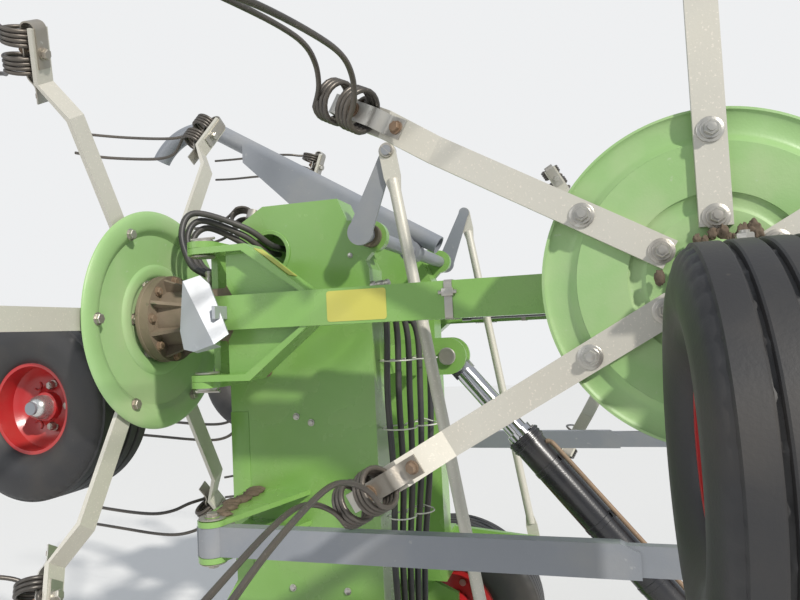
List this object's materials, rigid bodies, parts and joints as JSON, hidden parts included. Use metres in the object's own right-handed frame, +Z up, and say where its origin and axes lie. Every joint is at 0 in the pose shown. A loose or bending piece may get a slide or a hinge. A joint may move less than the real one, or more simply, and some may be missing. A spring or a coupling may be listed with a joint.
{
  "type": "hay tedder",
  "caption": "Trailed hay tedder on two road wheels, its row of tined rotors stood up and its wings folded forward for the road.",
  "frame": {"origin": "on the ground, under the middle of the parked machine's box", "axes": "+X forward to the hitch, +Y left, +Z up"},
  "size_m": [3.7478, 2.816, 2.1752],
  "materials": {
    "green": "light green gloss paint",
    "frame_green": "green gloss paint",
    "galvanised": "galvanised, dull",
    "spring_steel": "dark oiled spring steel, worn",
    "grey_paint": "grey paint",
    "cast": "dusty, greasy casting",
    "tyre": "ribbed rubber",
    "rim_red": "red gloss paint",
    "black": "black paint",
    "chrome": "polished rod",
    "hose": "black hydraulic hose, dusty"
  },
  "bodies": {
    "chassis": {"pivot_frame": "frame_green", "road_axle": "frame_green", "drawbar": "frame_green", "drive_box": "cast"},
    "jack": {"jack_leg": "grey_paint"},
    "lift": {"posts": "frame_green", "cross_tubes": "frame_green", "hinge_brackets": "frame_green", "crank_shaft": "grey_paint", "stay_rods": "galvanised", "rear_pole": "grey_paint", "hoses": "hose", "gearbox_cr": "cast", "gearbox_cl": "cast", "wheel_arm_cr": "grey_paint", "wheel_arm_cl": "grey_paint"},
    "lift_barrel_body": {"lift_barrel": "black"},
    "lift_sleeve_body": {"lift_sleeve": "chrome"},
    "lift_rod_body": {"lift_rod": "chrome"},
    "wing_r": {"beam_r": "frame_green", "guard_bar_r": "grey_paint", "gearbox_wr": "cast", "wheel_arm_wr": "grey_paint", "joint_shield_r": "galvanised"},
    "fold_barrel_r_body": {"fold_barrel_r": "black"},
    "fold_rod_r_body": {"fold_rod_r": "chrome"},
    "road_wheel_r": {"road_tyre_r": "tyre", "road_rim_r": "rim_red"},
    "wing_l": {"beam_l": "frame_green", "guard_bar_l": "grey_paint", "gearbox_wl": "cast", "wheel_arm_wl": "grey_paint", "joint_shield_l": "galvanised"},
    "fold_barrel_l_body": {"fold_barrel_l": "black"},
    "fold_rod_l_body": {"fold_rod_l": "chrome"},
    "road_wheel_l": {"road_tyre_l": "tyre", "road_rim_l": "rim_red"},
    "rotor_cr": {"disc_cr": "green", "arms_cr": "galvanised", "tines_cr": "spring_steel"},
    "wheel_cr": {"tyre_cr": "tyre", "rim_cr": "rim_red"},
    "rotor_cl": {"disc_cl": "green", "arms_cl": "galvanised", "tines_cl": "spring_steel"},
    "wheel_cl": {"tyre_cl": "tyre", "rim_cl": "rim_red"},
    "rotor_wr": {"disc_wr": "green", "arms_wr": "galvanised", "tines_wr": "spring_steel"},
    "wheel_wr": {"tyre_wr": "tyre", "rim_wr": "rim_red"},
    "rotor_wl": {"disc_wl": "green", "arms_wl": "galvanised", "tines_wl": "spring_steel"},
    "wheel_wl": {"tyre_wl": "tyre", "rim_wl": "rim_red"}
  },
  "joints": [
    {"name": "lift", "type": "hinge", "parent": "chassis", "child": "lift", "pos_m": [-1.276, 0, 0.6], "axis": [0, 1, 0], "range_deg": [-90, 0]},
    {"name": "jack_fold", "type": "hinge", "parent": "chassis", "child": "jack", "pos_m": [1.424, 0, 0.285], "axis": [0, 1, 0], "range_deg": [0, 90]},
    {"name": "wing_fold_r", "type": "hinge", "parent": "lift", "child": "wing_r", "pos_m": [-1.126, -0.66, 1.45], "axis": [0, 0, 1], "range_deg": [-90, 0]},
    {"name": "road_wheel_r_spin", "type": "hinge", "parent": "chassis", "child": "road_wheel_r", "pos_m": [-0.876, -0.6, 0.33], "axis": [0, 1, 0], "continuous": true},
    {"name": "wing_fold_l", "type": "hinge", "parent": "lift", "child": "wing_l", "pos_m": [-1.126, 0.66, 1.45], "axis": [0, 0, 1], "range_deg": [0, 90]},
    {"name": "road_wheel_l_spin", "type": "hinge", "parent": "chassis", "child": "road_wheel_l", "pos_m": [-0.876, 0.6, 0.33], "axis": [0, 1, 0], "continuous": true},
    {"name": "rotor_cr_spin", "type": "hinge", "parent": "lift", "child": "rotor_cr", "pos_m": [-1.326, -0.56, 1.45], "axis": [1, 0, 0], "continuous": true},
    {"name": "wheel_cr_spin", "type": "hinge", "parent": "lift", "child": "wheel_cr", "pos_m": [-1.646, -0.56, 1.245], "axis": [0, 1, 0], "continuous": true},
    {"name": "rotor_cl_spin", "type": "hinge", "parent": "lift", "child": "rotor_cl", "pos_m": [-1.326, 0.56, 1.45], "axis": [1, 0, 0], "continuous": true},
    {"name": "wheel_cl_spin", "type": "hinge", "parent": "lift", "child": "wheel_cl", "pos_m": [-1.646, 0.56, 1.245], "axis": [0, 1, 0], "continuous": true},
    {"name": "rotor_wr_spin", "type": "hinge", "parent": "wing_r", "child": "rotor_wr", "pos_m": [-0.106, -0.86, 1.45], "axis": [0, 1, 0], "continuous": true},
    {"name": "wheel_wr_spin", "type": "hinge", "parent": "wing_r", "child": "wheel_wr", "pos_m": [-0.106, -1.18, 1.245], "axis": [1, 0, 0], "continuous": true},
    {"name": "rotor_wl_spin", "type": "hinge", "parent": "wing_l", "child": "rotor_wl", "pos_m": [-0.106, 0.86, 1.45], "axis": [0, -1, 0], "continuous": true},
    {"name": "wheel_wl_spin", "type": "hinge", "parent": "wing_l", "child": "wheel_wl", "pos_m": [-0.106, 1.18, 1.245], "axis": [1, 0, 0], "continuous": true},
    {"name": "lift_barrel_swing", "type": "hinge", "parent": "chassis", "child": "lift_barrel_body", "pos_m": [-0.085, 0, 0.56], "axis": [0, 1, 0], "range_deg": [-32.7, 0.1]},
    {"name": "lift_sleeve_slide", "type": "slide", "parent": "lift_barrel_body", "child": "lift_sleeve_body", "axis": [-0.6435, 0, 0.7655], "range_m": [0, 0.506]},
    {"name": "lift_rod_slide", "type": "slide", "parent": "lift_sleeve_body", "child": "lift_rod_body", "axis": [-0.6435, 0, 0.7655], "range_m": [0, 0.506]},
    {"name": "fold_barrel_r_swing", "type": "hinge", "parent": "wing_r", "child": "fold_barrel_r_body", "pos_m": [-0.426, -0.58, 1.45], "axis": [0, 0, 1], "range_deg": [-0.1, 0.5]},
    {"name": "fold_rod_r_slide", "type": "slide", "parent": "fold_barrel_r_body", "child": "fold_rod_r_body", "axis": [-0.9975, 0.0702, 0], "range_m": [0, 0.2522]},
    {"name": "fold_barrel_l_swing", "type": "hinge", "parent": "wing_l", "child": "fold_barrel_l_body", "pos_m": [-0.426, 0.58, 1.45], "axis": [0, 0, 1], "range_deg": [-0.5, 0.1]},
    {"name": "fold_rod_l_slide", "type": "slide", "parent": "fold_barrel_l_body", "child": "fold_rod_l_body", "axis": [-0.9975, -0.0702, 0], "range_m": [0, 0.2522]}
  ],
  "couplings": [
    {"joint": "rotor_cl_spin", "follows": "rotor_cr_spin", "ratio": -1},
    {"joint": "rotor_wr_spin", "follows": "rotor_cr_spin", "ratio": -1},
    {"joint": "rotor_wl_spin", "follows": "rotor_cr_spin", "ratio": 1},
    {"joint": "lift_barrel_swing", "follows": "lift", "ratio": 0.36125},
    {"joint": "lift_sleeve_slide", "follows": "lift", "m_per_rad": -0.32213},
    {"joint": "lift_rod_slide", "follows": "lift", "m_per_rad": -0.32213},
    {"joint": "fold_barrel_r_swing", "follows": "wing_fold_r", "ratio": -0.004441},
    {"joint": "fold_rod_r_slide", "follows": "wing_fold_r", "m_per_rad": -0.16056},
    {"joint": "fold_barrel_l_swing", "follows": "wing_fold_l", "ratio": -0.004441},
    {"joint": "fold_rod_l_slide", "follows": "wing_fold_l", "m_per_rad": 0.16056}
  ]
}
